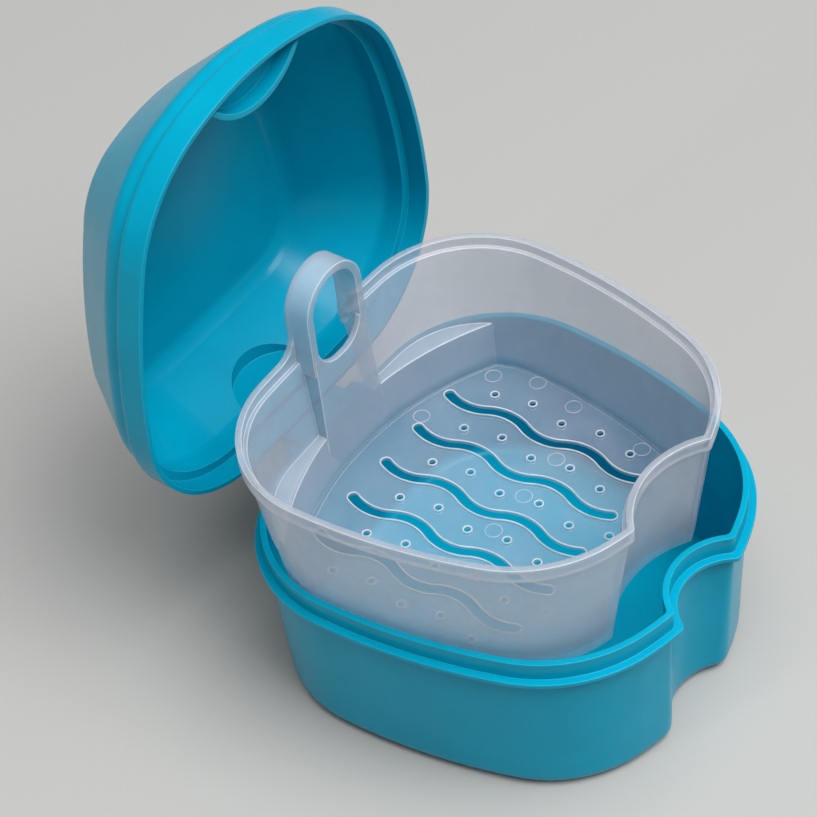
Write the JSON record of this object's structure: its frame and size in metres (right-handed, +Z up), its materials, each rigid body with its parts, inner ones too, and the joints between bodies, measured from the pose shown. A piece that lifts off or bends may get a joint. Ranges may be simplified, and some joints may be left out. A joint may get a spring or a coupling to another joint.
{
  "type": "denture case",
  "caption": "Moulded denture bath case: notched bowl-shaped tub, domed hinged lid standing open, and a lifted translucent drainer basket with a bail handle.",
  "frame": {"origin": "centre of the tub's flat underside", "axes": "+Z up, -Y towards the finger notch (front), +Y towards the hinge, +X to the right of someone facing the notch"},
  "size_m": [0.0911, 0.1227, 0.1243],
  "materials": {
    "blue_plastic": "semi-gloss moulded polypropylene, cyan blue",
    "natural_plastic": "translucent natural polypropylene"
  },
  "bodies": {
    "tub": {"tub": "blue_plastic"},
    "lid": {"lid": "blue_plastic"},
    "basket": {"basket": "natural_plastic"}
  },
  "joints": [
    {"name": "lid_hinge", "type": "hinge", "parent": "tub", "child": "lid", "pos_m": [0, 0.0475, 0.03205], "axis": [-1, 0, 0], "range_deg": [-89.3, 0]},
    {"name": "basket_lift", "type": "slide", "parent": "tub", "child": "basket", "axis": [-0.1364, 0.0228, 0.9904], "range_m": [-0.03372, 0]}
  ],
  "couplings": [
    {"joint": "basket_lift", "follows": "lid_hinge", "m_per_rad": 0.021637}
  ]
}
